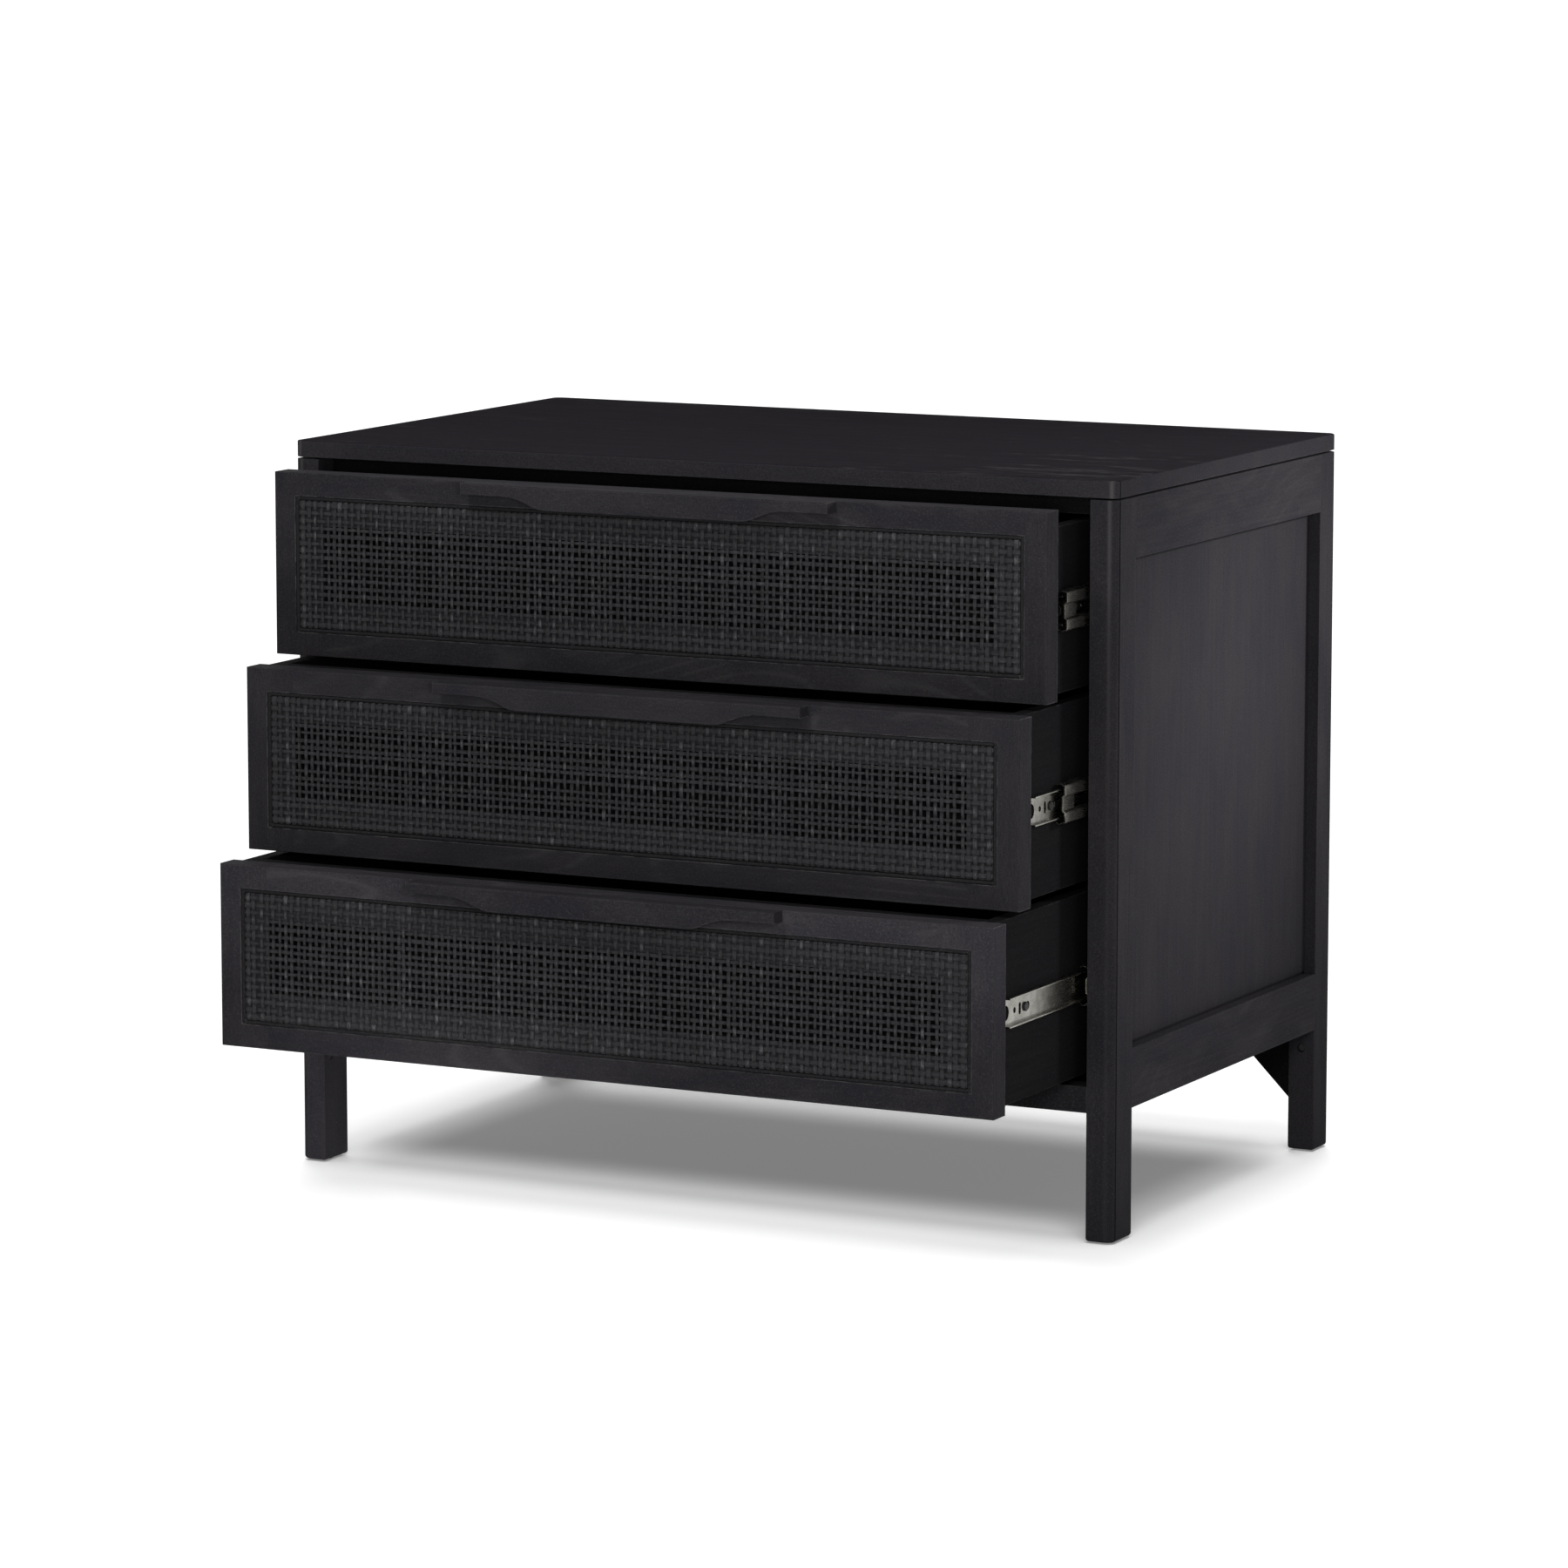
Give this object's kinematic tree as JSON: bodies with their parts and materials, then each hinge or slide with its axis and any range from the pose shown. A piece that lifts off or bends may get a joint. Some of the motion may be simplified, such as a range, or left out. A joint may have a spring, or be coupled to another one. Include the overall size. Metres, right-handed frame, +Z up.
{
  "type": "nightstand with drawers",
  "caption": "Black-wash wooden nightstand on four square legs, with cane-front drawers that have scooped wooden pulls and run on telescopic ball-bearing slides.",
  "frame": {"origin": "on the floor under the middle of the case, between the four legs", "axes": "+X to the object's right as seen from its front, +Y towards its back, +Z up; drawers open towards -Y"},
  "size_m": [0.813, 0.6866, 0.662],
  "materials": {
    "top_wood": "black-wash satin lacquer, grain along X",
    "post_wood": "black-wash satin lacquer, grain along Z",
    "side_rail_wood": "black-wash satin lacquer, grain along Y",
    "side_panel_wood": "black-wash satin lacquer, grain along Z",
    "cross_rail_wood": "black-wash satin lacquer, grain along X",
    "back_panel_wood": "matt black-stained board",
    "inner_wood": "matt black stain",
    "front_stile_wood": "black-wash satin lacquer, grain along Z",
    "front_rail_wood": "black-wash satin lacquer, grain along X",
    "pull_wood": "black-wash satin lacquer, grain along X",
    "box_wood_across": "matt black stain, grain along X",
    "box_wood_deep": "matt black stain, grain along Y",
    "box_bottom": "matt black-stained board",
    "cane": "black-stained woven cane",
    "cane_spline": "black-stained reed",
    "slide_zinc": "bright zinc-plated sheet steel",
    "ball_steel": "polished bearing steel",
    "screw_black": "black oxide",
    "glide_plastic": "moulded, matt"
  },
  "bodies": {
    "case": {"top_panel": "top_wood", "top_stretchers": "inner_wood", "post_front_left": "post_wood", "post_front_right": "post_wood", "post_back_left": "post_wood", "post_back_right": "post_wood", "side_top_rails": "side_rail_wood", "side_bottom_rails": "side_rail_wood", "side_panel_left": "side_panel_wood", "side_panel_right": "side_panel_wood", "front_bottom_rail": "cross_rail_wood", "back_bottom_rail": "cross_rail_wood", "case_bottom": "inner_wood", "back_panel": "back_panel_wood", "back_gussets": "inner_wood", "foot_glides": "glide_plastic", "slide_outer_members": "slide_zinc", "case_screws": "screw_black"},
    "top_drawer": {"top_drawer_front_stiles": "front_stile_wood", "top_drawer_front_rails": "front_rail_wood", "top_drawer_cane_panel": "cane", "top_drawer_cane_spline": "cane_spline", "top_drawer_pull": "pull_wood", "top_drawer_box_front": "box_wood_across", "top_drawer_box_sides": "box_wood_deep", "top_drawer_box_back": "box_wood_across", "top_drawer_box_bottom": "box_bottom", "top_drawer_slide_inner_members": "slide_zinc", "top_drawer_screws": "screw_black"},
    "top_drawer_slide_middle": {"top_drawer_slide_middle_members": "slide_zinc"},
    "top_drawer_outer_balls": {"top_drawer_outer_ball_strips": "ball_steel"},
    "top_drawer_inner_balls": {"top_drawer_inner_ball_strips": "ball_steel"},
    "middle_drawer": {"middle_drawer_front_stiles": "front_stile_wood", "middle_drawer_front_rails": "front_rail_wood", "middle_drawer_cane_panel": "cane", "middle_drawer_cane_spline": "cane_spline", "middle_drawer_pull": "pull_wood", "middle_drawer_box_front": "box_wood_across", "middle_drawer_box_sides": "box_wood_deep", "middle_drawer_box_back": "box_wood_across", "middle_drawer_box_bottom": "box_bottom", "middle_drawer_slide_inner_members": "slide_zinc", "middle_drawer_screws": "screw_black"},
    "middle_drawer_slide_middle": {"middle_drawer_slide_middle_members": "slide_zinc"},
    "middle_drawer_outer_balls": {"middle_drawer_outer_ball_strips": "ball_steel"},
    "middle_drawer_inner_balls": {"middle_drawer_inner_ball_strips": "ball_steel"},
    "bottom_drawer": {"bottom_drawer_front_stiles": "front_stile_wood", "bottom_drawer_front_rails": "front_rail_wood", "bottom_drawer_cane_panel": "cane", "bottom_drawer_cane_spline": "cane_spline", "bottom_drawer_pull": "pull_wood", "bottom_drawer_box_front": "box_wood_across", "bottom_drawer_box_sides": "box_wood_deep", "bottom_drawer_box_back": "box_wood_across", "bottom_drawer_box_bottom": "box_bottom", "bottom_drawer_slide_inner_members": "slide_zinc", "bottom_drawer_screws": "screw_black"},
    "bottom_drawer_slide_middle": {"bottom_drawer_slide_middle_members": "slide_zinc"},
    "bottom_drawer_outer_balls": {"bottom_drawer_outer_ball_strips": "ball_steel"},
    "bottom_drawer_inner_balls": {"bottom_drawer_inner_ball_strips": "ball_steel"}
  },
  "joints": [
    {"name": "top_drawer_middle_slide", "type": "slide", "parent": "case", "child": "top_drawer_slide_middle", "axis": [0, -1, 0], "range_m": [-0.065, 0.135]},
    {"name": "top_drawer_slide", "type": "slide", "parent": "top_drawer_slide_middle", "child": "top_drawer", "axis": [0, -1, 0], "range_m": [-0.0162, 0.1838]},
    {"name": "top_drawer_outer_balls_roll", "type": "slide", "parent": "case", "child": "top_drawer_outer_balls", "axis": [0, -1, 0], "range_m": [-0.0325, 0.0675]},
    {"name": "top_drawer_inner_balls_roll", "type": "slide", "parent": "top_drawer_slide_middle", "child": "top_drawer_inner_balls", "axis": [0, -1, 0], "range_m": [-0.0081, 0.0919]},
    {"name": "middle_drawer_middle_slide", "type": "slide", "parent": "case", "child": "middle_drawer_slide_middle", "axis": [0, -1, 0], "range_m": [-0.066, 0.134]},
    {"name": "middle_drawer_slide", "type": "slide", "parent": "middle_drawer_slide_middle", "child": "middle_drawer", "axis": [0, -1, 0], "range_m": [-0.0669, 0.1331]},
    {"name": "middle_drawer_outer_balls_roll", "type": "slide", "parent": "case", "child": "middle_drawer_outer_balls", "axis": [0, -1, 0], "range_m": [-0.033, 0.067]},
    {"name": "middle_drawer_inner_balls_roll", "type": "slide", "parent": "middle_drawer_slide_middle", "child": "middle_drawer_inner_balls", "axis": [0, -1, 0], "range_m": [-0.03345, 0.06655]},
    {"name": "bottom_drawer_middle_slide", "type": "slide", "parent": "case", "child": "bottom_drawer_slide_middle", "axis": [0, -1, 0], "range_m": [-0.015, 0.185]},
    {"name": "bottom_drawer_slide", "type": "slide", "parent": "bottom_drawer_slide_middle", "child": "bottom_drawer", "axis": [0, -1, 0], "range_m": [-0.1666, 0.0334]},
    {"name": "bottom_drawer_outer_balls_roll", "type": "slide", "parent": "case", "child": "bottom_drawer_outer_balls", "axis": [0, -1, 0], "range_m": [-0.0075, 0.0925]},
    {"name": "bottom_drawer_inner_balls_roll", "type": "slide", "parent": "bottom_drawer_slide_middle", "child": "bottom_drawer_inner_balls", "axis": [0, -1, 0], "range_m": [-0.0833, 0.0167]}
  ],
  "couplings": [
    {"joint": "top_drawer_outer_balls_roll", "follows": "top_drawer_middle_slide", "ratio": 0.5},
    {"joint": "top_drawer_inner_balls_roll", "follows": "top_drawer_slide", "ratio": 0.5},
    {"joint": "middle_drawer_outer_balls_roll", "follows": "middle_drawer_middle_slide", "ratio": 0.5},
    {"joint": "middle_drawer_inner_balls_roll", "follows": "middle_drawer_slide", "ratio": 0.5},
    {"joint": "bottom_drawer_outer_balls_roll", "follows": "bottom_drawer_middle_slide", "ratio": 0.5},
    {"joint": "bottom_drawer_inner_balls_roll", "follows": "bottom_drawer_slide", "ratio": 0.5}
  ]
}
